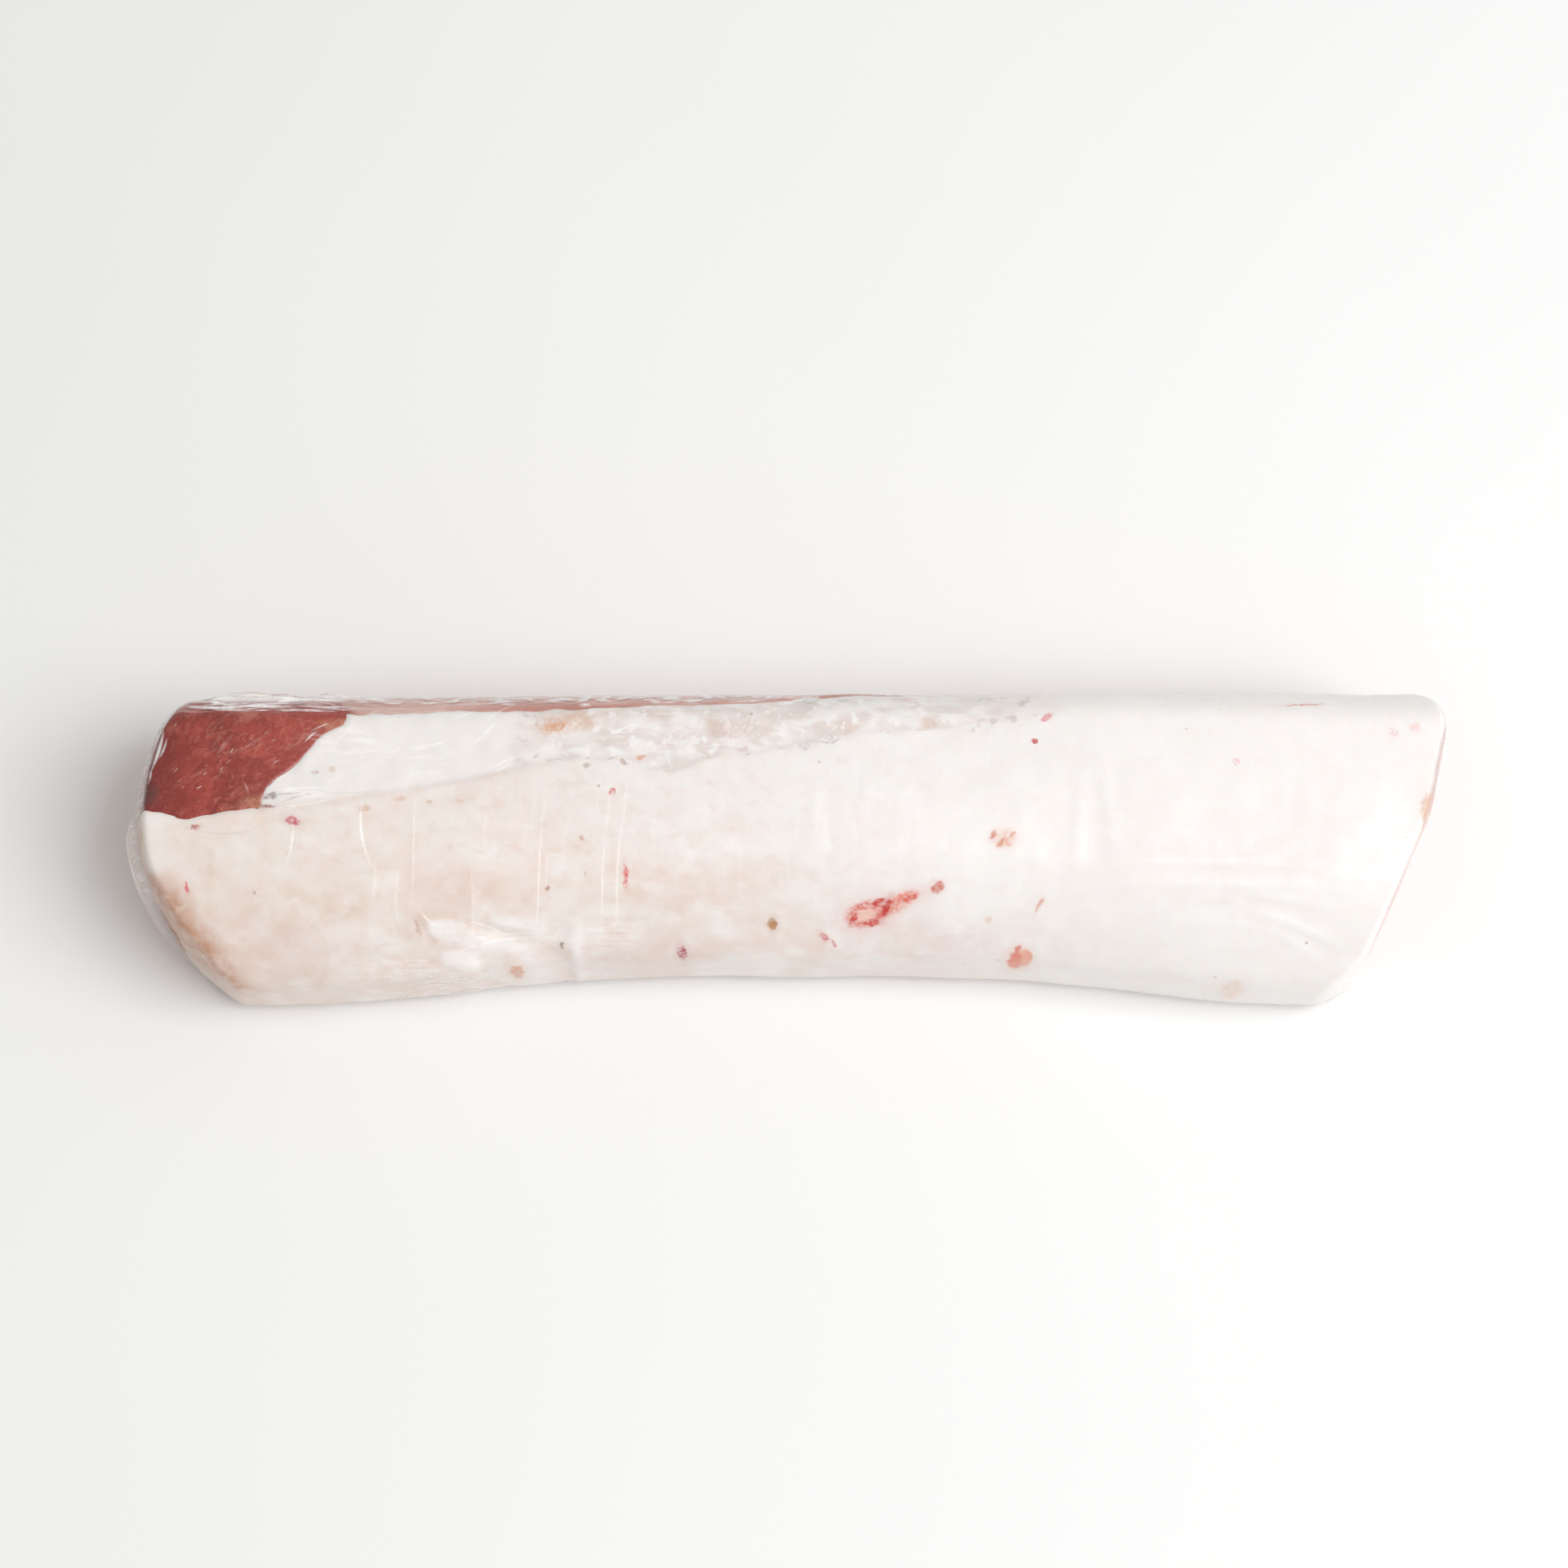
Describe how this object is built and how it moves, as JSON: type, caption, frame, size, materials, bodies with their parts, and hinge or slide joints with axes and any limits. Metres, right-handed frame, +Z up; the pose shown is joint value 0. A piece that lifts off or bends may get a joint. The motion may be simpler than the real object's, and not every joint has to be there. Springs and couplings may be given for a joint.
{
  "type": "bone-in pork loin",
  "caption": "Whole pork loin lying fat side up: a long slab of lean meat under a pale fat cap, trimmed bare at one corner, in skin-tight clear film.",
  "frame": {"origin": "middle of the whole box at table height, under the loin", "axes": "+X along the loin towards its slanting cut end, +Y to the far (chine) side where the lean shows, +Z up through the fat cap"},
  "size_m": [0.6954, 0.1574, 0.1063],
  "materials": {
    "lean": "raw red meat, moist and slightly glossy under film",
    "fat": "smooth cream-white fat with faint pink mottling",
    "film": "thin clear plastic film, wrinkled"
  },
  "bodies": {
    "root": {"lean": "lean", "fat_cap": "fat", "film_end_left": "film", "film_end_right": "film"}
  },
  "joints": []
}
